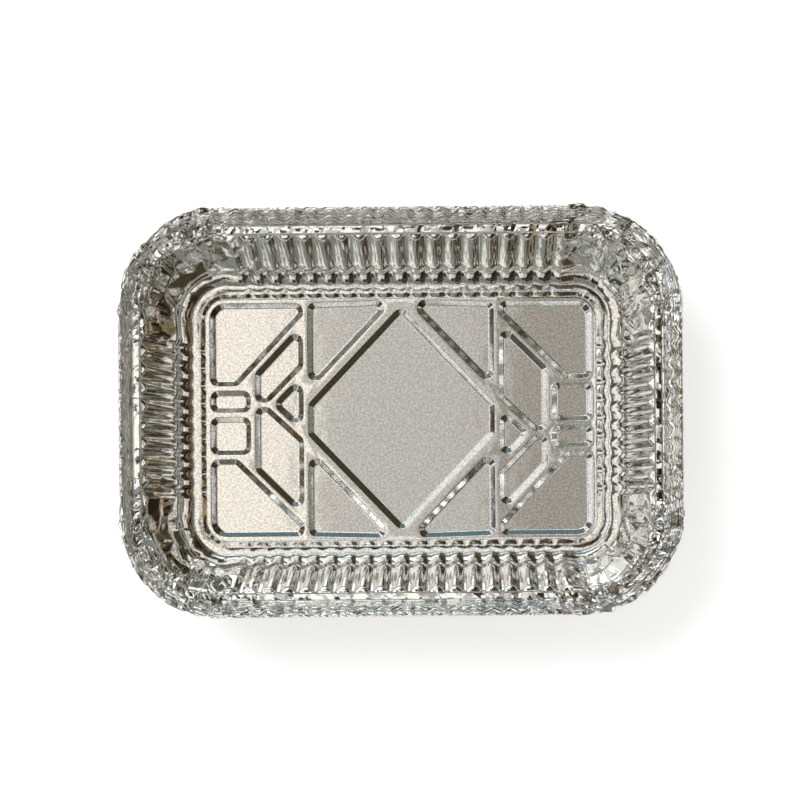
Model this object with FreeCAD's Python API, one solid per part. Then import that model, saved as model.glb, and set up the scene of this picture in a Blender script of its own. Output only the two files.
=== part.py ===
import FreeCAD, Part
import math
import os

# Foil container pressed from one sheet: embossed floor, fluted walls, lid ledge and curled flange.
# X runs along the tray, Y from front to back, Z up from the table; all lengths in millimetres.

# Foil
sheet = 0.1

# Steps that round corners are faceted in: folds in a corner, degrees in the floor and in a cell
fold_steps = 14
floor_facet = 15.0
cell_facet = 28.0
flatness = 0.000001
ruled_twist = 0.3

# Floor outline, measured at the feet of the walls
floor_length = 180.3
floor_width = 117.0
floor_round = 16.0

# Floor embossing: a flat ring, then a raised net of ribs with sunk cells between them
ring_width = 4.15
rib_height = 1.5
rib_width = 1.4
wide_rib = 3.0
rib_slope = 2.4
cell_slope = 2.4
cell_round = 2.7
cell_foot_round = 0.6
corner_cell_round = 6.4

# Columns of cells, from the net's left edge in to the diamond, and rows, up and down from the middle
slot_column = 19.1
wedge_column = 22.6
upper_row = 13.6
middle_row = 2.3
lower_row = -15.8

# Slanted ribs: how far from a corner they meet the straight ones
corner_cut = 6.6
corner_foot = 12.8
tip_run = 7.0
tip_row = 6.5
tip_head = 22.4
diamond_waist = 8.0

# Walls: a steep low band, a shoulder, then the tall fluted wall
band_run = 3.0
band_height = 12.0
shoulder_run = 1.4
shoulder_rise = 0.8
wall_run = 13.2
wall_height = 44.3
flute_pitch = 7.6
flute_facets = 6
plain_end = 5.0
foot_flute = 0.4
band_flute = 0.6
shoulder_flute = 0.8
rim_flute = 1.0
rim_fold = 0.54
fold_swing = 1.3

# Rim: lid ledge, flange folded up and outward, rolled edge along the straight sides
rim_margin = 0.2
ledge_rise = 0.7
ledge_width = 3.4
flange_low = 3.2
flange_high = 4.0
flange_bend = 15.0
flange_crumple = 0.45
curl_radius = 1.0
curl_turn = 240.0
curl_steps = 6

# Lean of the flange from upright, in degrees, counterclockwise from the right-hand side
flange_leans = (62.5, 48.5, 18.0, 35.5)

quarters = [FreeCAD.Vector(1, 0, 0), FreeCAD.Vector(0, 1, 0), FreeCAD.Vector(-1, 0, 0), FreeCAD.Vector(0, -1, 0)]
up = FreeCAD.Vector(0, 0, 1)


def outward(side):
    """Level direction a side faces; sides count counterclockwise from the right-hand one."""
    return quarters[side % len(quarters)]


def reach(side):
    """Distance from the middle of the floor to the foot of a side."""
    return floor_width / 2 if side % 2 else floor_length / 2


def net_reach(side):
    """Distance from the middle of the floor to the middle of the net's outer rib."""
    return reach(side) - ring_width - rib_slope - rib_width / 2


def side_point(side, along, place):
    """Point over a straight side, at a distance along it, for an (offset, height) place of its section."""
    offset, height = place
    return outward(side) * (reach(side) + offset) + outward(side + 1) * along + up * height


def side_end(side):
    """Distance from the middle of a straight side to where its corner starts."""
    return reach(side + 1) - floor_round


def corner_point(side, turn, place, next_place):
    """Point in the corner after a side, turned from that side's place to the next side's."""
    angle = turn * math.pi / 2
    centre = outward(side) * (reach(side) - floor_round) + outward(side + 1) * (reach(side + 1) - floor_round)
    start = outward(side) * (floor_round + place[0]) * math.cos(angle)
    finish = outward(side + 1) * (floor_round + next_place[0]) * math.sin(angle)
    height = place[1] + (next_place[1] - place[1]) * turn
    return centre + start + finish + up * height


def moved(place, offset, height=0.0):
    """An (offset, height) place moved out and up."""
    return place[0] + offset, place[1] + height


def fluted_side(side, place, depth):
    """Points of a straight side whose flutes bulge out and in by depth."""
    count = int((side_end(side) - plain_end) * 2 / flute_pitch)
    points = [side_point(side, -side_end(side), place)]
    for step in range(count * flute_facets + 1):
        along = (step / flute_facets - count / 2) * flute_pitch
        wave = -math.cos(step / flute_facets * 2 * math.pi)
        points.append(side_point(side, along, moved(place, depth * wave)))
    points.append(side_point(side, side_end(side), place))
    return points


def folded_corner(side, place, next_place, fold, crumple=0.0):
    """Points inside a corner, gathered in uneven folds and crumpled up and down."""
    points = []
    for step in range(1, fold_steps):
        turn = step / fold_steps
        gather = math.sin(turn * math.pi)
        offset = fold * gather * math.sin(fold_swing * step + side)
        height = crumple * gather * (-1) ** step
        points.append(corner_point(side, turn, moved(place, offset + height), moved(next_place, offset + height))
                      + up * height)
    return points


def fluted_loop(places, depth, fold):
    """Closed row of points round the walls, through one (offset, height) place per side."""
    points = []
    for side in range(4):
        points += fluted_side(side, places[side], depth)
        points += folded_corner(side, places[side], places[(side + 1) % 4], fold)
    return points + points[:1]


def plain_loop(places, crumple=0.0):
    """Closed row of points round the rim, straight along the sides and crumpled in the corners."""
    points = []
    for side in range(4):
        points.append(side_point(side, -side_end(side), places[side]))
        points.append(side_point(side, side_end(side), places[side]))
        points += folded_corner(side, places[side], places[(side + 1) % 4], 0.0, crumple)
    return points + points[:1]


def moved_out(section, distance):
    """Section moved to its outer side by distance, with mitred bends."""
    normals = []
    for start, finish in zip(section, section[1:]):
        length = math.dist(start, finish)
        normals.append(((finish[1] - start[1]) / length, (start[0] - finish[0]) / length))
    places = []
    for place, before, after in zip(section, normals[:1] + normals, normals + normals[-1:]):
        share = distance / (1 + before[0] * after[0] + before[1] * after[1])
        places.append(moved(place, share * (before[0] + after[0]), share * (before[1] + after[1])))
    return places


def wall_places():
    """Inner face of the wall from the floor ring to the outer edge of the lid ledge."""
    ledge_start = wall_run + rim_flute + rim_margin
    ledge_height = wall_height + ledge_rise
    return [
        (-ring_width, sheet),
        (0.0, sheet),
        (band_run, band_height),
        (band_run + shoulder_run, band_height + shoulder_rise),
        (wall_run, wall_height),
        (ledge_start, wall_height),
        (ledge_start + ledge_rise / 2, ledge_height),
        (ledge_start + ledge_rise / 2 + ledge_width, ledge_height),
    ]


def flange_places(start, lean):
    """Inner face of the flange above the ledge: its knee, its top and the roll of its edge."""
    low = math.radians(lean - flange_bend / 2)
    high = math.radians(lean + flange_bend / 2)
    knee = moved(start, flange_low * math.sin(low), flange_low * math.cos(low))
    top = moved(knee, flange_high * math.sin(high), flange_high * math.cos(high))
    centre = moved(top, curl_radius * math.cos(high), -curl_radius * math.sin(high))
    places = [knee, top]
    for step in range(1, curl_steps + 1):
        angle = math.pi - high - math.radians(curl_turn) * step / curl_steps
        places.append(moved(centre, curl_radius * math.cos(angle), curl_radius * math.sin(angle)))
    return places


def side_sections(distance):
    """Sections of the four sides, moved out from the inner face by distance."""
    sections = []
    for lean in flange_leans:
        places = wall_places()
        sections.append(moved_out(places + flange_places(places[-1], lean), distance))
    return sections


def flat(outline, holes=()):
    """Flat face inside a closed row of points, less closed rows that run round the same way."""
    return Part.Face([Part.makePolygon(outline)] + [Part.makePolygon(hole[::-1]) for hole in holes])


def quad(start, finish, far_finish, far_start):
    """Faces across four corners: one flat or ruled face, or two with a crease where it twists more."""
    normal = (finish - start).cross(far_finish - start)
    twist = (finish - start) - (far_finish - far_start)
    if abs(normal.dot(far_start - start)) < flatness * normal.Length:
        return [flat([start, finish, far_finish, far_start, start])]
    if twist.Length < ruled_twist:
        return [Part.makeRuledSurface(Part.makeLine(start, finish), Part.makeLine(far_start, far_finish))]
    return [flat([start, finish, far_finish, start]), flat([start, far_finish, far_start, start])]


def between(row, next_row):
    """Faces between two rows with the same number of points."""
    faces = []
    for corners in zip(row, row[1:], next_row[1:], next_row):
        faces += quad(*corners)
    return faces


def rounded_row(corners, inset, rounds, facet):
    """Closed row of points round flat corners: drawn in by inset, then rounded in steps of about facet degrees."""
    points = []
    for index, corner in enumerate(corners):
        back = (corners[index - 1] - corner).normalize()
        ahead = (corners[(index + 1) % len(corners)] - corner).normalize()
        half = back.getAngle(ahead) / 2
        inward = (back + ahead).normalize() / math.sin(half)
        spoke = back * (rounds[index] / math.tan(half)) - inward * rounds[index]
        swing = 180 - 2 * math.degrees(half)
        count = round(swing / facet)
        for step in range(count + 1):
            turned = FreeCAD.Rotation(up, swing * step / count).multVec(spoke)
            points.append(corner + inward * (inset + rounds[index]) + turned)
    return points + points[:1]


def floor_row(inset, height):
    """Outline of the floor drawn in by inset, at a height."""
    corners = []
    for side in range(4):
        corners.append(outward(side) * reach(side) + outward(side + 1) * reach(side + 1) + up * height)
    return rounded_row(corners, inset, [floor_round - inset] * 4, floor_facet)


def cell_row(corners, inset, radius, corner_radius, height):
    """Outline of a cell drawn in from the middles of its ribs, with rounder corners at the net's own."""
    rounds = []
    for x, y in corners:
        rounds.append(corner_radius if (abs(x), abs(y)) == (net_reach(0), net_reach(1)) else radius)
    return rounded_row([FreeCAD.Vector(x, y, height) for x, y in corners], inset, rounds, cell_facet)


def height_at(x, start, finish):
    """Height of the line through two points where it passes x."""
    return start[1] + (finish[1] - start[1]) * (x - start[0]) / (finish[0] - start[0])


def cells():
    """Corners of each cell, on the middles of its ribs: nine on the left, their half-turn copies, the diamond."""
    left = -net_reach(0)
    back = net_reach(1)
    outer = left + slot_column
    upright = outer + wedge_column
    waist = diamond_waist
    step = (wide_rib - rib_width) / 2 * math.hypot(upright, back - waist) / -upright
    tip = (outer + tip_run, tip_row)
    upper_head = (upright, back - corner_cut)
    lower_head = (upright, corner_cut - back)
    upper_foot = (left + corner_foot, upper_row)
    lower_foot = (left + corner_foot, lower_row)
    upper_knee = (outer, height_at(outer, upper_foot, upper_head))
    lower_knee = (outer, height_at(outer, lower_foot, lower_head))
    sides = [
        [upper_head, (upright, back), (left, back), (left, upper_row), upper_foot],
        [(outer, middle_row), (outer, upper_row), (left, upper_row), (left, middle_row)],
        [(outer, lower_row), (outer, middle_row), (left, middle_row), (left, lower_row)],
        [lower_foot, (left, lower_row), (left, -back), (upright, -back), lower_head],
        [tip, (upright, tip_head), upper_head, upper_knee, (outer, tip_row)],
        [tip, (upright, -waist), (upright, tip_head)],
        [tip, (outer, tip_row), lower_knee, lower_head, (upright, -waist)],
        [(0.0, back + step), (upright, back), (upright, waist + step)],
        [(upright, -waist - step), (upright, -back), (0.0, -back - step)],
    ]
    sides += [[(-x, -y) for x, y in corners] for corners in sides]
    diamond = [(0.0, back - step), (upright, waist - step), (upright, step - waist)]
    return sides + [diamond + [(-x, -y) for x, y in diamond]]


def floor_faces(base):
    """Embossed floor inside the ring, with its ring and cells at height base."""
    ribs = base + rib_height
    brow = floor_row(ring_width + rib_slope, ribs)
    faces = between(floor_row(ring_width, base), brow)
    holes = []
    for corners in cells():
        rim = cell_row(corners, rib_width / 2, cell_round, corner_cell_round, ribs)
        bed = cell_row(corners, rib_width / 2 + cell_slope, cell_foot_round, corner_cell_round - cell_slope, base)
        faces += between(rim, bed)
        faces.append(flat(bed))
        holes.append(rim)
    faces.append(flat(brow, holes))
    return faces


def skin_faces(distance):
    """One face of the foil, moved out from the inner face by distance, without the rolled edge."""
    sections = side_sections(distance)
    places = [list(row) for row in zip(*sections)]
    ring = floor_row(ring_width, places[0][0][1])
    foot = fluted_loop(places[1], foot_flute, 0.0)
    band = fluted_loop(places[2], band_flute, rim_fold / 3)
    shoulder = fluted_loop(places[3], shoulder_flute, rim_fold * 2 / 3)
    rim = fluted_loop(places[4], rim_flute, rim_fold)
    loops = [plain_loop(places[5]), plain_loop(places[6])]
    loops += [plain_loop(places[index], flange_crumple * share) for index, share in ((7, 0.5), (8, 1.0), (9, 1.0))]
    faces = floor_faces(places[0][0][1])
    faces.append(flat(foot, [ring]))
    faces += between(foot, band) + between(band, shoulder) + between(shoulder, rim)
    faces.append(flat(loops[0], [rim]))
    for row, next_row in zip(loops, loops[1:]):
        faces += between(row, next_row)
    return faces, loops[-1]


def roll_faces(side):
    """Rolled edge along one straight side, from the top of the flange to the free edge of the foil."""
    top = len(wall_places()) + 1
    inner = side_sections(0.0)[side][top:]
    outer = side_sections(sheet)[side][top:]
    faces = []
    rims = []
    for along in (-side_end(side), side_end(side)):
        row = [side_point(side, along, place) for place in inner]
        back = [side_point(side, along, place) for place in outer]
        faces.append(flat(row + back[::-1] + row[:1]))
        rims.append((row, back))
    (row, back), (far_row, far_back) = rims
    faces += between(row, far_row) + between(back, far_back)
    faces += between([row[-1], back[-1]], [far_row[-1], far_back[-1]])
    return faces


def corner_edges(inner, outer):
    """Free edge of the foil in the corners, where the flange ends without a roll."""
    faces = []
    stride = fold_steps + 1
    for side in range(4):
        start = side * stride + 1
        faces += between(inner[start:start + stride], outer[start:start + stride])
    return faces


def foil_tray():
    """The whole tray as one closed solid."""
    inner, inner_top = skin_faces(0.0)
    outer, outer_top = skin_faces(sheet)
    faces = inner + outer + corner_edges(inner_top, outer_top)
    for side in range(4):
        faces += roll_faces(side)
    joined = Part.makeCompound(faces)
    joined.sewShape()
    tray = Part.Solid(joined.Shells[0])
    if tray.Volume < 0:
        tray.reverse()
    return tray


def centred(shape):
    """Shape moved so that its box stands on the table, over the origin."""
    box = shape.BoundBox
    return shape.translated(FreeCAD.Vector(-box.Center.x, -box.Center.y, -box.ZMin))


os.makedirs("parts", exist_ok=True)
centred(foil_tray()).exportStep("parts/foil_tray.step")
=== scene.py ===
import math
import random

import bmesh
import bpy
from mathutils import Matrix, Vector, noise


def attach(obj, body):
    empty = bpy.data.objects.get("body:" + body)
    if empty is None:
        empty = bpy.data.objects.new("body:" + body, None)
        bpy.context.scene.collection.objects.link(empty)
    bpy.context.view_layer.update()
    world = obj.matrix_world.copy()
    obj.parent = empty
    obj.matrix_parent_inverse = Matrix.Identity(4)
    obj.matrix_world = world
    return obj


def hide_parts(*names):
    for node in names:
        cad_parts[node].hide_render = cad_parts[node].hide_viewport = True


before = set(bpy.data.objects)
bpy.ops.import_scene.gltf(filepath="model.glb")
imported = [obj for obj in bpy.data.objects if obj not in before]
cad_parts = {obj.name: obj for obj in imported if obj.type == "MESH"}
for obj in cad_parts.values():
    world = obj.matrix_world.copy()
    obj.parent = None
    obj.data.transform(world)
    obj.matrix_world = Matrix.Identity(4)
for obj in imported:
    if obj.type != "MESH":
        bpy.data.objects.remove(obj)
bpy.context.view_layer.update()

# The container is one sheet of aluminium foil pressed over a die. Its columns run up the four sides
# and round the corners, and its rows climb from the floor to the rolled edge. Lengths are millimetres
# from the middle of the floor, and sides are counted counterclockwise from the right-hand one.
FLOOR_LENGTH = 180.3
FLOOR_WIDTH = 117.0
FLOOR_ROUND = 16.0
FLUTE_PITCH = 7.6
FLUTE_ROUND = 0.8
FLUTE_COLUMNS = 8
PLAIN_END = 5.0
PLAIN_COLUMNS = 6
CORNER_COLUMNS = 64


def reach(side):
    """Distance from the middle of the floor to the foot of a side."""
    return FLOOR_WIDTH / 2 if side % 2 else FLOOR_LENGTH / 2


def side_end(side):
    """Distance from the middle of a straight side to where its corner starts."""
    return reach(side + 1) - FLOOR_ROUND


def flutes(side):
    """Number of flutes on a side."""
    return int((side_end(side) - PLAIN_END) * 2 / FLUTE_PITCH)


def outward(side):
    """Level direction that a side faces."""
    return Matrix.Rotation(side * math.pi / 2, 3, "Z") @ Vector((1, 0, 0))


def side_columns(side):
    """Columns of a side and the corner after it: side, place along it, share of the turn, flute's phase."""
    end = side_end(side)
    fluted = flutes(side) * FLUTE_PITCH / 2
    columns = []
    for step in range(PLAIN_COLUMNS):
        columns.append((side, -end + (end - fluted) * step / PLAIN_COLUMNS, 0.0, None))
    for step in range(flutes(side) * FLUTE_COLUMNS):
        columns.append((side, step * FLUTE_PITCH / FLUTE_COLUMNS - fluted, 0.0, step / FLUTE_COLUMNS))
    for step in range(PLAIN_COLUMNS):
        columns.append((side, fluted + (end - fluted) * step / PLAIN_COLUMNS, 0.0, None))
    for step in range(CORNER_COLUMNS):
        columns.append((side, end, step / CORNER_COLUMNS, None))
    return columns


columns = [column for side in range(4) for column in side_columns(side)]


def flute_wave(column):
    """Share of a flute's depth at a column: arches outward, ridges inward, none past the flutes."""
    side, along, turn, phase = column
    if phase is not None:
        wave = -math.cos(phase * 2 * math.pi)
        return math.copysign(abs(wave) ** FLUTE_ROUND, wave)
    plain = side_end(side) - flutes(side) * FLUTE_PITCH / 2
    return -max(0.0, (side_end(side) - abs(along)) / plain) if turn == 0.0 else 0.0


def column_place(column, places, depth):
    """Point of a column in a row that passes one (offset, height) place on each side, fluted to a depth."""
    side, along, turn, phase = column
    offset, height = places[side]
    if turn == 0.0:
        level = outward(side) * (reach(side) + offset + depth * flute_wave(column))
        return level + outward(side + 1) * along + Vector((0, 0, height))
    next_offset, next_height = places[(side + 1) % 4]
    angle = turn * math.pi / 2
    middle = outward(side) * side_end(side + 1) + outward(side + 1) * side_end(side)
    level = outward(side) * (FLOOR_ROUND + offset) * math.cos(angle)
    level += outward(side + 1) * (FLOOR_ROUND + next_offset) * math.sin(angle)
    return middle + level + Vector((0, 0, height + (next_height - height) * turn))


def extruded(mesh, row):
    """Next row of vertices, extruded from a closed row and in the same order."""
    edges = [mesh.edges.get(pair) for pair in zip(row, row[1:] + row[:1])]
    made = set(bmesh.ops.extrude_edge_only(mesh, edges=edges)["geom"])
    return [next(edge.other_vert(vert) for edge in vert.link_edges if edge.other_vert(vert) in made)
            for vert in row]


# The walls rise from a flat ring by a steep band, a shoulder and the tall fluted wall to a step under
# the lid ledge, all drawn over one section that is the same on the four sides. Then the flange leans
# out, each side at its own angle, and its edge is rolled. A row is (offset, height, depth of flutes).
RING_ROWS = [(-4.15, 0.5, 0.5), (-3.0, 0.36, 0.3), (-1.5, 0.2, 0.25), (-0.7, 0.2, 0.3), (-0.25, 0.42, 0.35)]
BAND_ROWS = [(0.08, 0.9, 0.45), (0.7, 3.0, 0.65), (1.4, 5.8, 0.75), (2.1, 8.7, 0.8), (2.75, 11.2, 0.8)]
SHOULDER_ROWS = [(3.05, 12.0, 0.8), (3.5, 12.4, 0.8), (4.05, 12.65, 0.8), (4.5, 13.2, 0.82)]
FLUTED_ROWS = [
    (5.1, 15.4, 0.86), (5.7, 17.5, 0.9), (6.3, 19.6, 0.93), (6.9, 21.7, 0.95), (7.45, 23.7, 0.98),
    (8.0, 25.7, 1.0), (8.55, 27.7, 1.02), (9.05, 29.6, 1.03), (9.6, 31.6, 1.05), (10.15, 33.6, 1.06),
    (10.7, 35.6, 1.08), (11.25, 37.5, 1.1), (11.8, 39.4, 1.1), (12.3, 41.2, 1.1), (12.75, 42.9, 1.1),
    (12.95, 43.45, 1.1), (13.25, 43.7, 0.95), (13.9, 44.0, 0.5), (14.3, 44.05, 0.1),
]
STEP_ROWS = [(14.45, 44.15, 0.0), (14.75, 44.8, 0.0), (14.9, 44.98, 0.0)]
LEDGE_ROWS = [
    (15.1, 45.0, 0.0), (17.15, 45.0, 0.0), (17.3, 44.98, 0.0), (17.5, 44.75, 0.0), (17.85, 44.72, 0.0),
]
WALL_ROWS = RING_ROWS + BAND_ROWS + SHOULDER_ROWS + FLUTED_ROWS + STEP_ROWS + LEDGE_ROWS
LEDGE_EDGE = (18.15, 45.0)
FLANGE_LEANS = (62.5, 48.5, 18.0, 35.5)
FLANGE_BEND = 15.0
FLANGE_LOW = 3.2
FLANGE_HIGH = 4.0
LOW_SHARES = (0.15, 0.55, 0.95)
HIGH_SHARES = (0.15, 0.55, 1.0)
CURL_RADIUS = 1.0
CURL_TURN = 240.0
CURL_ROWS = 5


def part_way(start, finish, share):
    """Place at a share of the way from one (offset, height) place to another."""
    return tuple(first + (last - first) * share for first, last in zip(start, finish))


def flange_rows(lean):
    """Rows of the flange on a side with that lean: its bent leaf, then the roll of its edge."""
    low = math.radians(lean - FLANGE_BEND / 2)
    high = math.radians(lean + FLANGE_BEND / 2)
    knee = (LEDGE_EDGE[0] + FLANGE_LOW * math.sin(low), LEDGE_EDGE[1] + FLANGE_LOW * math.cos(low))
    top = (knee[0] + FLANGE_HIGH * math.sin(high), knee[1] + FLANGE_HIGH * math.cos(high))
    rows = [part_way(LEDGE_EDGE, knee, share) for share in LOW_SHARES]
    rows += [part_way(knee, top, share) for share in HIGH_SHARES]
    roll = (top[0] + CURL_RADIUS * math.cos(high), top[1] - CURL_RADIUS * math.sin(high))
    for step in range(1, CURL_ROWS + 1):
        angle = math.pi - high - math.radians(CURL_TURN) * step / CURL_ROWS
        rows.append((roll[0] + CURL_RADIUS * math.cos(angle), roll[1] + CURL_RADIUS * math.sin(angle)))
    return rows


foil = bmesh.new()
sheet_layer = foil.verts.layers.float_vector.new("sheet")
loose_layer = foil.verts.layers.float.new("loose")
row = bmesh.ops.create_circle(foil, segments=len(columns), radius=FLOOR_ROUND)["verts"]
rows = []
for offset, height, depth in WALL_ROWS:
    if rows:
        row = extruded(foil, row)
    for vert, column in zip(row, columns):
        vert.co = column_place(column, [(offset, height)] * 4, depth)
    rows.append(row)
for places in zip(*[flange_rows(lean) for lean in FLANGE_LEANS]):
    row = extruded(foil, row)
    for vert, column in zip(row, columns):
        vert.co = column_place(column, places, 0.0)
    rows.append(row)

# The foil gathers in the corners, where the die has more sheet than it needs: long folds up the wall
# between flat facets, and a ledge and flange crushed into short wrinkles. Each vertex keeps its place
# on the unrolled sheet, along and up, and how loose the foil is there.
CREASE_SEED = 7
GATHER_FADE = 8.0
FOLDS = 9
FOLD_DEPTH = 0.9
FOLD_SHARES = (0.4, 1.0)
FOLD_SHIFT = 0.4
FOLD_WIDTHS = (0.02, 0.05)
FOLD_STARTS = (0.02, 0.6)
FOLD_LEAN = 0.08
FOLD_GROWTH = 0.3
FACET_SIZE = 11.0
FACET_DEPTH = 5.0
TILT_SPREAD = 50
CREASE_SHARPNESS = 4
RIM_FACET = 3.4
RIM_DEPTH = 2.0
# A climb is the share of the rows passed on the way from the ring to the ledge's edge.
CALM_CLIMB = 0.12
CALM_RATE = 3
RIM_CLIMB = 0.74
RIM_RATE = 8
RIM_FACET_LOSS = 0.6
RIM_FOLD_LOSS = 0.5
SHEET_TWIST = 60.0
SLUMP = 0.6


def face_up(mesh):
    """Turns all the faces of the open tray to its inner side."""
    bmesh.ops.recalc_face_normals(mesh, faces=mesh.faces)
    if sum(face.normal.z * face.calc_area() for face in mesh.faces) < 0:
        bmesh.ops.reverse_faces(mesh, faces=mesh.faces)
    mesh.normal_update()


def gather(column):
    """Share of the crumpling at a column: full in a corner, fading along the straight sides."""
    side, along, turn, phase = column
    return 1.0 if turn > 0.0 else math.exp((abs(along) - side_end(side)) / GATHER_FADE)


def corner_folds():
    """Folds of the four corners: the turn where one stands, its width, its depth, its start, its lean."""
    chance = random.Random(CREASE_SEED)
    folds = []
    for index in range(4 * FOLDS):
        turn = (index % FOLDS + 0.5 + chance.uniform(-FOLD_SHIFT, FOLD_SHIFT)) / FOLDS
        depth = chance.uniform(*FOLD_SHARES) * (-1) ** index
        width = chance.uniform(*FOLD_WIDTHS)
        start = chance.uniform(*FOLD_STARTS)
        folds.append((turn, width, depth, start, chance.uniform(-FOLD_LEAN, FOLD_LEAN)))
    return folds


def fold_at(column, climb):
    """Depth of the long folds at a column and a share of the climb up the wall."""
    side, along, turn, phase = column
    depth = 0.0
    if turn > 0.0:
        for middle, width, share, start, lean in folds[side * FOLDS:(side + 1) * FOLDS]:
            grown = min(1.0, max(0.0, (climb - start) / FOLD_GROWTH))
            depth += share * grown * max(0.0, 1 - abs(turn - middle - lean * climb) / width)
    return depth * FOLD_DEPTH


def facet_at(place, size):
    """Depth of flat facets at a place on the sheet, each tilted its own way and meeting in a crease."""
    spot = place / size
    away, centres = noise.voronoi(spot)
    planes = []
    for centre in centres[:2]:
        tilt = noise.cell_vector(centre * TILT_SPREAD) - Vector((0.5, 0.5, 0.5))
        planes.append((spot - centre).dot(tilt))
    return planes[0] + (planes[1] - planes[0]) * max(0.0, 0.5 - (away[1] - away[0]) * CREASE_SHARPNESS)


folds = corner_folds()
ledge = rows[len(WALL_ROWS) - len(LEDGE_ROWS)]
along_sheet = [0.0]
for vert, next_vert in zip(ledge, ledge[1:] + ledge[:1]):
    along_sheet.append(along_sheet[-1] + (next_vert.co - vert.co).length)
around = along_sheet[-1]
up_sheet = [0.0] * len(columns)
face_up(foil)
moves = []
for index, row in enumerate(rows):
    climb = index / (len(WALL_ROWS) - 1)
    on_wall = min(1.0, max(0.0, climb - CALM_CLIMB) * CALM_RATE)
    on_rim = min(1.0, max(0.0, climb - RIM_CLIMB) * RIM_RATE)
    for step, (vert, column) in enumerate(zip(row, columns)):
        if index:
            up_sheet[step] += (vert.co - rows[index - 1][step].co).length
        twist = SHEET_TWIST * math.sin(2 * math.pi * along_sheet[step] / around)
        spot = Vector((min(along_sheet[step], around - along_sheet[step]), up_sheet[step], twist))
        loose = gather(column)
        depth = facet_at(spot, FACET_SIZE) * FACET_DEPTH * (1 - RIM_FACET_LOSS * on_rim)
        depth += fold_at(column, min(climb, 1.0)) * (1 - RIM_FOLD_LOSS * on_rim)
        depth += facet_at(spot, RIM_FACET) * RIM_DEPTH * on_rim
        move = vert.normal * depth * loose * on_wall
        if climb > 1.0:
            move.z -= (vert.co.z - LEDGE_EDGE[1]) * SLUMP * math.sin(column[2] * math.pi)
        moves.append((vert, move))
        vert[sheet_layer] = spot
        vert[loose_layer] = loose
for vert, move in moves:
    vert.co += move

# The floor is embossed to stiffen it: a raised net of ribs round nineteen sunk cells, inside the flat
# ring. The cells are a half-turn pattern about a middle diamond, and each is pressed with round
# corners and a soft slope all round. A slope is a list of its (run, rise) or (inset, drop) steps.
RING_WIDTH = 4.15
RING_HEIGHT = RING_ROWS[0][1]
RING_FLUTE = RING_ROWS[0][2]
NET_SLOPE = [(0.25, 0.07), (0.5, 0.2), (1.2, 0.61), (0.45, 0.17), (0.25, 0.05)]
NET_FLUTE = 1.1
NET_CORNER = (80.0, 45.0)
NET_CORNER_ROUND = 6.8
RIB_HEIGHT = 1.5
RIB_WIDTH = 1.4
WIDE_RIB = 3.0
CELL_SLOPE = [(0.0, 0.0), (0.15, 0.02), (0.35, 0.14), (2.15, 1.32), (2.4, 1.46), (2.6, 1.5), (3.0, 1.5)]
CELL_ROUND = 3.7
ROUND_LOSS = 0.9
ROUND_STEPS = 6
SLOT_COLUMN = 19.1
WEDGE_COLUMN = 22.6
UPPER_ROW = 13.6
MIDDLE_ROW = 2.3
LOWER_ROW = -15.8
CORNER_CUT = 6.6
CORNER_FOOT = 12.8
TIP = (7.0, 6.5)
TIP_HEAD = 22.4
DIAMOND_WAIST = 8.0


def height_at(x, start, finish):
    """Height of the line through two points where it passes x."""
    return start[1] + (finish[1] - start[1]) * (x - start[0]) / (finish[0] - start[0])


def cells():
    """Corners of the nineteen cells, on the middles of their ribs."""
    margin = RING_WIDTH + sum(run for run, rise in NET_SLOPE) + RIB_WIDTH / 2
    left = margin - FLOOR_LENGTH / 2
    back = FLOOR_WIDTH / 2 - margin
    outer = left + SLOT_COLUMN
    upright = outer + WEDGE_COLUMN
    waist = DIAMOND_WAIST
    step = (WIDE_RIB - RIB_WIDTH) / 2 * math.hypot(upright, back - waist) / -upright
    tip = (outer + TIP[0], TIP[1])
    upper_head = (upright, back - CORNER_CUT)
    lower_head = (upright, CORNER_CUT - back)
    upper_foot = (left + CORNER_FOOT, UPPER_ROW)
    lower_foot = (left + CORNER_FOOT, LOWER_ROW)
    upper_knee = (outer, height_at(outer, upper_foot, upper_head))
    lower_knee = (outer, height_at(outer, lower_foot, lower_head))
    half = [
        [upper_head, (upright, back), (left, back), (left, UPPER_ROW), upper_foot],
        [(outer, MIDDLE_ROW), (outer, UPPER_ROW), (left, UPPER_ROW), (left, MIDDLE_ROW)],
        [(outer, LOWER_ROW), (outer, MIDDLE_ROW), (left, MIDDLE_ROW), (left, LOWER_ROW)],
        [lower_foot, (left, LOWER_ROW), (left, -back), (upright, -back), lower_head],
        [tip, (upright, TIP_HEAD), upper_head, upper_knee, (outer, TIP[1])],
        [tip, (upright, -waist), (upright, TIP_HEAD)],
        [tip, (outer, TIP[1]), lower_knee, lower_head, (upright, -waist)],
        [(0.0, back + step), (upright, back), (upright, waist + step)],
        [(upright, -waist - step), (upright, -back), (0.0, -back - step)],
    ]
    half += [[(-x, -y) for x, y in corners] for corners in half]
    diamond = [(0.0, back - step), (upright, waist - step), (upright, step - waist)]
    return half + [diamond + [(-x, -y) for x, y in diamond]]


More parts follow.
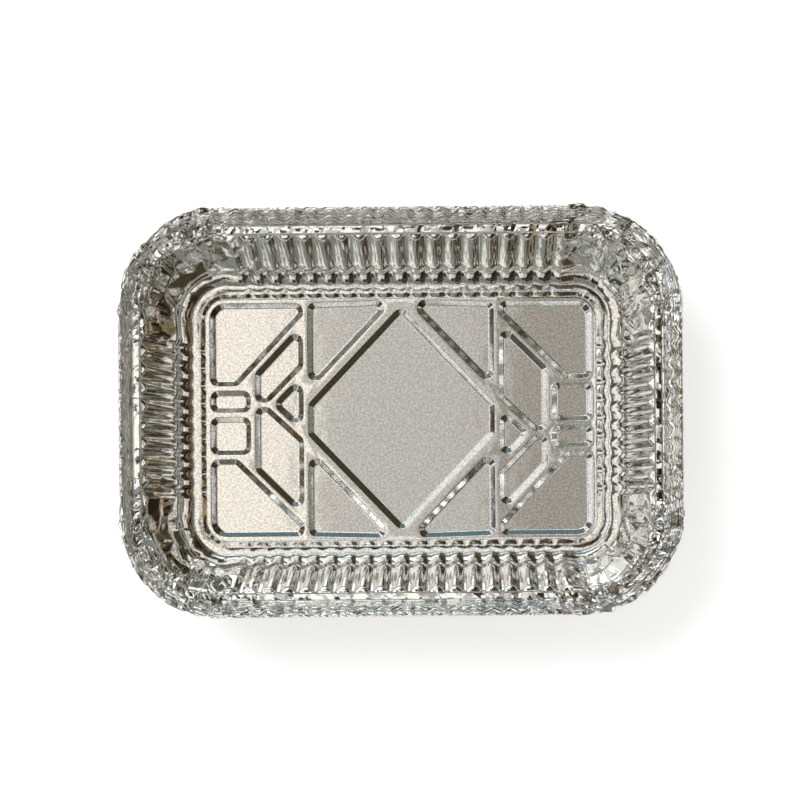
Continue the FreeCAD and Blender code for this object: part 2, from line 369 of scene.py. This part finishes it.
def cell_outline(corners, inset, height):
    """Points round a cell, drawn in from the middles of its ribs, with its corners rounded."""
    points = []
    for index, corner in enumerate(corners):
        back = (corners[index - 1] - corner).normalized()
        ahead = (corners[(index + 1) % len(corners)] - corner).normalized()
        half = back.angle(ahead) / 2
        at_net_corner = abs(corner.x) > NET_CORNER[0] and abs(corner.y) > NET_CORNER[1]
        radius = (NET_CORNER_ROUND if at_net_corner else CELL_ROUND) - inset * ROUND_LOSS
        inward = (back + ahead).normalized() / math.sin(half)
        spoke = back * (radius / math.tan(half)) - inward * radius
        middle = corner + inward * (inset + RIB_WIDTH / 2 + radius)
        for step in range(ROUND_STEPS + 1):
            turned = Matrix.Rotation((math.pi - 2 * half) * step / ROUND_STEPS, 3, "Z") @ spoke
            points.append(middle + turned + Vector((0, 0, height)))
    return points


def press_cell(mesh, corners, height):
    """Presses one cell down from its brow to its bed, row by row."""
    corners = [Vector((x, y, 0)) for x, y in corners]
    row = []
    for inset, drop in CELL_SLOPE:
        points = cell_outline(corners, inset, height - drop)
        if row:
            row = extruded(mesh, row)
        else:
            row = bmesh.ops.create_circle(mesh, segments=len(points), radius=CELL_ROUND)["verts"]
        for vert, point in zip(row, points):
            vert.co = point
    bmesh.ops.contextual_create(mesh, geom=[mesh.edges.get(pair) for pair in zip(row, row[1:] + row[:1])])


net = rows[0]
offset = -RING_WIDTH
level = RING_HEIGHT
for run, rise in NET_SLOPE:
    net = extruded(foil, net)
    offset -= run
    level += rise
    for vert, column in zip(net, columns):
        vert.co = column_place(column, [(offset, level)] * 4, RING_FLUTE * (NET_FLUTE - level / RIB_HEIGHT))
for corners in cells():
    press_cell(foil, corners, level)
brows = [edge for edge in foil.edges if edge.is_boundary and edge.verts[0].co.z < 2 * RIB_HEIGHT]
bmesh.ops.triangle_fill(foil, use_beauty=True, edges=brows, normal=(0, 0, 1))

# The pressed sheet becomes one piece, 0.1 mm thick to the outside, and is moved to the middle of its
# reach, from which its floor stands a little off because the flanges lean unequally. On the floor, a
# vertex's place on the unrolled sheet is its place in plan.
MILLIMETRE = 0.001
FLOOR_MIDDLE = (-1.752, -0.527)
SHEET = 0.1
for vert in foil.verts:
    if vert[sheet_layer].length == 0:
        vert[sheet_layer] = (vert.co.x, vert.co.y, 0.0)
face_up(foil)
place = Matrix.Scale(MILLIMETRE, 4) @ Matrix.Translation((FLOOR_MIDDLE[0], FLOOR_MIDDLE[1], 0))
bmesh.ops.transform(foil, matrix=place, verts=foil.verts)
mesh = bpy.data.meshes.new("foil_container")
foil.to_mesh(mesh)
foil.free()
mesh.shade_smooth()
container = bpy.data.objects.new("foil_container", mesh)
bpy.context.scene.collection.objects.link(container)
solid = container.modifiers.new("sheet", "SOLIDIFY")
solid.thickness = SHEET * MILLIMETRE
solid.offset = -1

# Bright rolled aluminium foil. The mill's rolls leave a fine grain that dulls the floor, and drawing
# leaves streaks up the walls. The sheet is slightly uneven, so that it mirrors the room in soft
# patches, and where it is crushed it sparkles from flat facets. Sizes and depths are millimetres.
BRIGHT = "#faf9f6"
DULL = "#d0d0cc"
GRAIN_SIZE, GRAIN_DEPTH = 0.9, 0.008
GRAIN_SHARES = (0.68, 0.36)
WAVE_SIZE, WAVE_DEPTH = 14.0, 0.14
STREAK_SIZE, STREAK_STRETCH, STREAK_DEPTH = 1.3, 14, 0.06
RIPPLE_SIZE, RIPPLE_STRETCH, RIPPLE_FLOW, RIPPLE_DEPTH = 1.1, 60, 50, 1.1
CRUSH_SIZE, CRUSH_STRETCH, CRUSH_TURN, CRUSH_DEPTH = 6.0, 2.6, 20, 0.9
WRINKLE_SIZE, WRINKLE_STRETCH, WRINKLE_TURN, WRINKLE_DEPTH = 2.2, 2.6, 35, 2.6
WRINKLE_SPREAD = 0.3
# Heights between which a pattern starts or ends.
FLOOR_ENDS = (3.0, 1.8)
WALL_STARTS = (1.8, 6.0)
WALL_ENDS = (44.2, 42.5)
RIM_STARTS = (43.5, 44.5)
FLANGE_STARTS = (45.3, 45.6)


def linear(code):
    """sRGB hex colour as linear red, green, blue and alpha."""
    channels = [int(code[start:start + 2], 16) / 255 for start in (1, 3, 5)]
    return [c / 12.92 if c <= 0.04045 else ((c + 0.055) / 1.055) ** 2.4 for c in channels] + [1.0]


def add(tree, kind, inputs=None, **settings):
    """Adds a node with its settings; its inputs are values or the outputs of other nodes."""
    made = tree.nodes.new(kind)
    for name, value in settings.items():
        setattr(made, name, value)
    for name, value in (inputs or {}).items():
        if isinstance(value, bpy.types.NodeSocket):
            tree.links.new(value, made.inputs[name])
        else:
            made.inputs[name].default_value = value
    return made


def new_material(name):
    """An empty node material and its tree."""
    material = bpy.data.materials.new(name)
    material.use_nodes = True
    material.node_tree.nodes.clear()
    return material, material.node_tree


def between(tree, value, low, high):
    """Share from 0 to 1 of a value on its way from low to high."""
    share = add(tree, "ShaderNodeMapRange", {"Value": value, "From Min": low, "From Max": high})
    return share.outputs["Result"]


def climbed(tree, height, limits):
    """Share from 0 to 1 of a height on its way from one limit in millimetres to the other."""
    return between(tree, height, limits[0] * MILLIMETRE, limits[1] * MILLIMETRE)


def product(tree, first, second):
    """Product of two values."""
    return add(tree, "ShaderNodeMath", {0: first, 1: second}, operation="MULTIPLY").outputs["Value"]


def facets(tree, place, size, stretch, turn):
    """Height of flat facets on the sheet, each tilted its own way, in units of their size."""
    turned = add(tree, "ShaderNodeMapping", {"Vector": place, "Rotation": (0, 0, math.radians(turn)),
                                             "Scale": (size, size * stretch, size)}, vector_type="TEXTURE")
    spot = turned.outputs["Vector"]
    patch = add(tree, "ShaderNodeTexVoronoi", {"Vector": spot, "Scale": 1.0})
    away = add(tree, "ShaderNodeVectorMath", {0: spot, 1: patch.outputs["Position"]}, operation="SUBTRACT")
    tilt = add(tree, "ShaderNodeVectorMath", {0: patch.outputs["Color"], 1: (0.5, 0.5, 0.5)},
               operation="SUBTRACT")
    height = add(tree, "ShaderNodeVectorMath", {0: away.outputs[0], 1: tilt.outputs[0]},
                 operation="DOT_PRODUCT")
    return height.outputs["Value"]


material, tree = new_material("rolled_aluminium_foil")
where = add(tree, "ShaderNodeTexCoord").outputs["Object"]
height = add(tree, "ShaderNodeSeparateXYZ", {"Vector": where}).outputs["Z"]
sheet = add(tree, "ShaderNodeAttribute", attribute_name="sheet").outputs["Vector"]
loose = add(tree, "ShaderNodeAttribute", attribute_name="loose").outputs["Fac"]
on_wall = product(tree, climbed(tree, height, WALL_STARTS), climbed(tree, height, WALL_ENDS))
on_rim = climbed(tree, height, RIM_STARTS)
on_flange = climbed(tree, height, FLANGE_STARTS)
grain = add(tree, "ShaderNodeTexNoise", {
    "Vector": where, "Scale": 1 / (GRAIN_SIZE * MILLIMETRE), "Detail": 2.0}).outputs["Fac"]
dull = product(tree, between(tree, grain, *GRAIN_SHARES), climbed(tree, height, FLOOR_ENDS))
tone = add(tree, "ShaderNodeMix", {0: dull, 6: linear(BRIGHT), 7: linear(DULL)}, data_type="RGBA")
waves = add(tree, "ShaderNodeTexNoise", {
    "Vector": where, "Scale": 1 / (WAVE_SIZE * MILLIMETRE), "Detail": 2.0})
drawn = add(tree, "ShaderNodeMapping", {
    "Vector": sheet, "Scale": (1 / STREAK_SIZE, 1 / (STREAK_SIZE * STREAK_STRETCH), 1 / STREAK_SIZE)})
streaks = add(tree, "ShaderNodeTexNoise", {"Vector": drawn.outputs["Vector"], "Scale": 1.0, "Detail": 1.0})
rolled = add(tree, "ShaderNodeMapping", {
    "Vector": sheet, "Scale": (1 / (RIPPLE_SIZE * RIPPLE_STRETCH), 1 / RIPPLE_SIZE, 1 / RIPPLE_FLOW)})
ripples = add(tree, "ShaderNodeTexNoise", {"Vector": rolled.outputs["Vector"], "Scale": 1.0, "Detail": 1.0})
crushed = facets(tree, sheet, CRUSH_SIZE, CRUSH_STRETCH, CRUSH_TURN)
wrinkled = facets(tree, sheet, WRINKLE_SIZE, WRINKLE_STRETCH, WRINKLE_TURN)
held = add(tree, "ShaderNodeMath", {0: loose, 1: WRINKLE_SPREAD}, operation="ADD").outputs["Value"]
uneven = [
    (grain, GRAIN_DEPTH),
    (waves.outputs["Fac"], WAVE_DEPTH),
    (product(tree, streaks.outputs["Fac"], on_wall), STREAK_DEPTH),
    (product(tree, ripples.outputs["Fac"], on_flange), RIPPLE_DEPTH),
    (product(tree, crushed, product(tree, loose, on_wall)), CRUSH_DEPTH),
    (product(tree, wrinkled, product(tree, held, on_rim)), WRINKLE_DEPTH),
]
normal = None
for relief, depth in uneven:
    bump = add(tree, "ShaderNodeBump", {"Height": relief, "Strength": 1.0, "Distance": depth * MILLIMETRE})
    if normal:
        tree.links.new(normal, bump.inputs["Normal"])
    normal = bump.outputs["Normal"]
metal = add(tree, "ShaderNodeBsdfPrincipled", {
    "Base Color": tone.outputs[2], "Metallic": 1.0, "Roughness": 0.09, "Normal": normal})
add(tree, "ShaderNodeOutputMaterial", {"Surface": metal.outputs["BSDF"]})
mesh.materials.append(material)
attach(container, "root")
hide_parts("foil_tray")

# The table is one large sheet of white paper, with a plain matt face that keeps a soft shadow. It is
# white to the camera and in mirrors, and from below it is clear, so that the underside can be seen.
TABLE_SIZE = 8.0
TABLE_DROP = 0.0001
TABLE_GLOW = 0.42
TABLE_WHITE = "#f2f2f0"
WHITE = "#ffffff"


def seen_directly(tree):
    """1 on rays from the camera, mirrored or let through, and 0 on those that light other things."""
    path = add(tree, "ShaderNodeLightPath")
    seen = add(tree, "ShaderNodeMath", {0: path.outputs["Is Camera Ray"], 1: path.outputs["Is Glossy Ray"]},
               operation="ADD")
    seen = add(tree, "ShaderNodeMath", {0: seen.outputs["Value"], 1: path.outputs["Is Transmission Ray"]},
               operation="ADD")
    return seen.outputs["Value"]


paper = bmesh.new()
bmesh.ops.create_grid(paper, x_segments=1, y_segments=1, size=TABLE_SIZE / 2)
bmesh.ops.translate(paper, verts=paper.verts, vec=(0, 0, -TABLE_DROP))
mesh = bpy.data.meshes.new("table")
paper.to_mesh(mesh)
paper.free()
table = bpy.data.objects.new("table", mesh)
bpy.context.scene.collection.objects.link(table)
material, tree = new_material("white_paper")
glow = product(tree, seen_directly(tree), TABLE_GLOW)
matt = add(tree, "ShaderNodeBsdfDiffuse", {"Color": linear(TABLE_WHITE)})
lit = add(tree, "ShaderNodeEmission", {"Color": linear(WHITE), "Strength": glow})
above = add(tree, "ShaderNodeAddShader", {0: matt.outputs["BSDF"], 1: lit.outputs["Emission"]})
below = add(tree, "ShaderNodeBsdfTransparent")
from_below = add(tree, "ShaderNodeNewGeometry").outputs["Backfacing"]
faced = add(tree, "ShaderNodeMixShader", {
    0: from_below, 1: above.outputs["Shader"], 2: below.outputs["BSDF"]})
add(tree, "ShaderNodeOutputMaterial", {"Surface": faced.outputs["Shader"]})
mesh.materials.append(material)

# Studio cards of coloured paper stand round the table for the foil to mirror, and show in mirrors only:
# dark and brown with tan strips on the right, pale behind, grey in front, dim on the left, beige and
# cream overhead. Round the foot lie grey sheets of painted shade, darker near the foot, that stand for the
# table's shadow beside the walls and that the outsides of the walls mirror. Metres.
# A standing card has its bearings, counterclockwise from the right, its degrees from overhead, and
# its distance; then its colour and strength.
STANDING_CARDS = [
    ("card_right_front", (-78, -47), (16, 57), 1.40, "#4a3b26", 1.0),
    ("card_right", (-47, -28), (15, 57), 1.42, "#1e211f", 1.0),
    ("card_right_middle", (-28, 28), (21, 57), 1.40, "#21150f", 1.0),
    ("card_right_back", (28, 38), (15, 57), 1.42, "#5d4c37", 1.0),
    ("card_back_dark", (38, 58), (15, 57), 1.40, "#13201f", 1.0),
    ("card_back_olive", (58, 80), (15, 57), 1.40, "#4d3f2b", 1.0),
    ("card_tan_front", (-24, -13), (29, 47), 1.30, "#8f7249", 1.0),
    ("card_tan", (-12, 10), (29, 47), 1.30, "#e6c08c", 1.0),
    ("card_olive", (11, 27), (29, 47), 1.30, "#8f7f52", 1.0),
    ("card_right_foot", (-78, 0), (58, 71), 1.40, "#45422f", 1.0),
    ("card_right_foot_back", (0, 72), (58, 71), 1.40, "#45422f", 1.0),
    ("card_right_sill", (-60, 60), (71, 90), 2.10, "#85847b", 1.0),
    ("card_back_high", (80, 124), (21, 30), 1.40, "#3a3428", 1.0),
    ("card_back", (80, 118), (30, 54), 1.40, "#eefafa", 1.3),
    ("card_window", (93, 114), (30, 43), 1.35, "#ffffff", 2.6),
    ("card_back_low", (72, 118), (56, 86), 1.40, "#6d8087", 1.0),
    ("card_front_edge", (236, 281), (18, 29), 1.40, "#1f2523", 1.0),
    ("card_front", (236, 281), (28, 56), 1.40, "#8d958f", 1.0),
    ("card_front_low", (236, 281), (58, 86), 1.40, "#8d8478", 1.0),
    ("card_left_brown", (160, 196), (46, 56), 1.40, "#6d5a44", 1.0),
    ("card_left", (136, 160), (30, 60), 1.40, "#5a5d50", 1.0),
    ("card_left_front", (200, 232), (26, 60), 1.40, "#4a4d43", 1.0),
    ("card_left_foot", (150, 210), (64, 84), 1.40, "#352c22", 1.0),
]
# An overhead card has its reach in x and in y, its colour and strength.
CEILING = 1.25
OVERHEAD_CARDS = [
    ("card_above", (-0.15, 0.06), (-0.20, 0.32), "#d0cdc8", 1.0),
    ("card_above_right", (0.06, 0.205), (-0.20, 0.32), "#aba59b", 1.0),
    ("card_cream", (-0.50, -0.15), (-0.30, 0.40), "#fff7ec", 1.15),
]
# A sheet of painted shade lies round the foot, between a near and a far distance from it: it stands for the
# table's shadow there, which the outsides of the walls mirror.
FOOT = (0.094, 0.062)
PAINTED_SHADE_HEIGHT = 0.0006
PAINTED_SHADE_SHEETS = [("painted_shade_dark", 0.0, 0.024, "#5b5c59"), ("painted_shade_grey", 0.024, 0.07, "#a3a4a1")]


def towards(turn, tilt, distance):
    """Point at a distance in the direction of a bearing and a tilt from overhead."""
    turn, tilt = math.radians(turn), math.radians(tilt)
    way = Vector((math.cos(turn) * math.sin(tilt), math.sin(turn) * math.sin(tilt), math.cos(tilt)))
    return way * distance


def stage_card(name, corners, colour, strength):
    """Stands one flat card with those corners, seen in mirrors only."""
    card = bmesh.new()
    card.faces.new([card.verts.new(corner) for corner in corners])
    mesh = bpy.data.meshes.new(name)
    card.to_mesh(mesh)
    card.free()
    material, tree = new_material(name)
    glow = add(tree, "ShaderNodeEmission", {"Color": linear(colour), "Strength": strength})
    add(tree, "ShaderNodeOutputMaterial", {"Surface": glow.outputs["Emission"]})
    mesh.materials.append(material)
    card = bpy.data.objects.new(name, mesh)
    bpy.context.scene.collection.objects.link(card)
    card.visible_camera = False
    card.visible_shadow = False
    card.visible_diffuse = False


for name, (left, right), (front, back), colour, strength in OVERHEAD_CARDS:
    outline = [(left, front), (right, front), (right, back), (left, back)]
    stage_card(name, [(x, y, CEILING) for x, y in outline], colour, strength)
for name, (first, last), (high, low), distance, colour, strength in STANDING_CARDS:
    outline = [(first, high), (first, low), (last, low), (last, high)]
    stage_card(name, [towards(turn, tilt, distance) for turn, tilt in outline], colour, strength)
quarters = [(1, -1), (1, 1), (-1, 1), (-1, -1)]
# Painted shade: grey sheets round the foot, seen only in mirrors, standing for the table's shadow beside
# the walls.
for name, near, far, colour in PAINTED_SHADE_SHEETS:
    for index, (first, last) in enumerate(zip(quarters, quarters[1:] + quarters[:1])):
        corners = [(x * (FOOT[0] + away), y * (FOOT[1] + away), PAINTED_SHADE_HEIGHT)
                   for (x, y), away in ((first, near), (first, far), (last, far), (last, near))]
        stage_card(name + "_" + str(index), corners, colour, 1.0)

# One large soft lamp stands high on the left and gives the shadow, inside a plain white room. The lamp
# itself doesn't show in mirrors, where its bright patch would take the colour out of the walls.
LAMP_SIZE = 0.7
LAMP_POWER = 9.0
LAMP_PLACE = (-0.55, 0.55, 1.1)
ROOM_LIGHT = 0.6
ROOM_SEEN = 1.0
lamp = bpy.data.lights.new("soft_lamp", "AREA")
lamp.shape = "SQUARE"
lamp.size = LAMP_SIZE
lamp.energy = LAMP_POWER
lamp_object = bpy.data.objects.new("soft_lamp", lamp)
bpy.context.scene.collection.objects.link(lamp_object)
lamp_object.visible_glossy = False
lamp_object.location = LAMP_PLACE
lamp_object.rotation_euler = (-lamp_object.location).to_track_quat("-Z", "Y").to_euler()
world = bpy.data.worlds.new("room")
bpy.context.scene.world = world
world.use_nodes = True
tree = world.node_tree
tree.nodes.clear()
light = add(tree, "ShaderNodeBackground", {"Color": linear(WHITE), "Strength": ROOM_LIGHT})
backdrop = add(tree, "ShaderNodeBackground", {"Color": linear(WHITE), "Strength": ROOM_SEEN})
mixed = add(tree, "ShaderNodeMixShader", {
    0: seen_directly(tree), 1: light.outputs["Background"], 2: backdrop.outputs["Background"]})
add(tree, "ShaderNodeOutputWorld", {"Surface": mixed.outputs["Shader"]})

# The camera looks straight down from a little to the right and in front of the container's middle. Its
# shift puts the container where the picture has it.
CAMERA_PLACE = (0.0289, -0.0489, 0.865)
CAMERA_ROLL = 0.5
LENS = 90.7
SENSOR = 36.0
SHIFT = (-0.0925, 0.164)
camera = bpy.data.cameras.new("camera")
camera.lens = LENS
camera.sensor_width = SENSOR
camera.shift_x, camera.shift_y = SHIFT
camera_object = bpy.data.objects.new("camera", camera)
bpy.context.scene.collection.objects.link(camera_object)
camera_object.location = CAMERA_PLACE
camera_object.rotation_euler = (0, 0, -math.radians(CAMERA_ROLL))
bpy.context.scene.camera = camera_object
bpy.context.scene.view_settings.view_transform = "Standard"

bpy.context.view_layer.update()
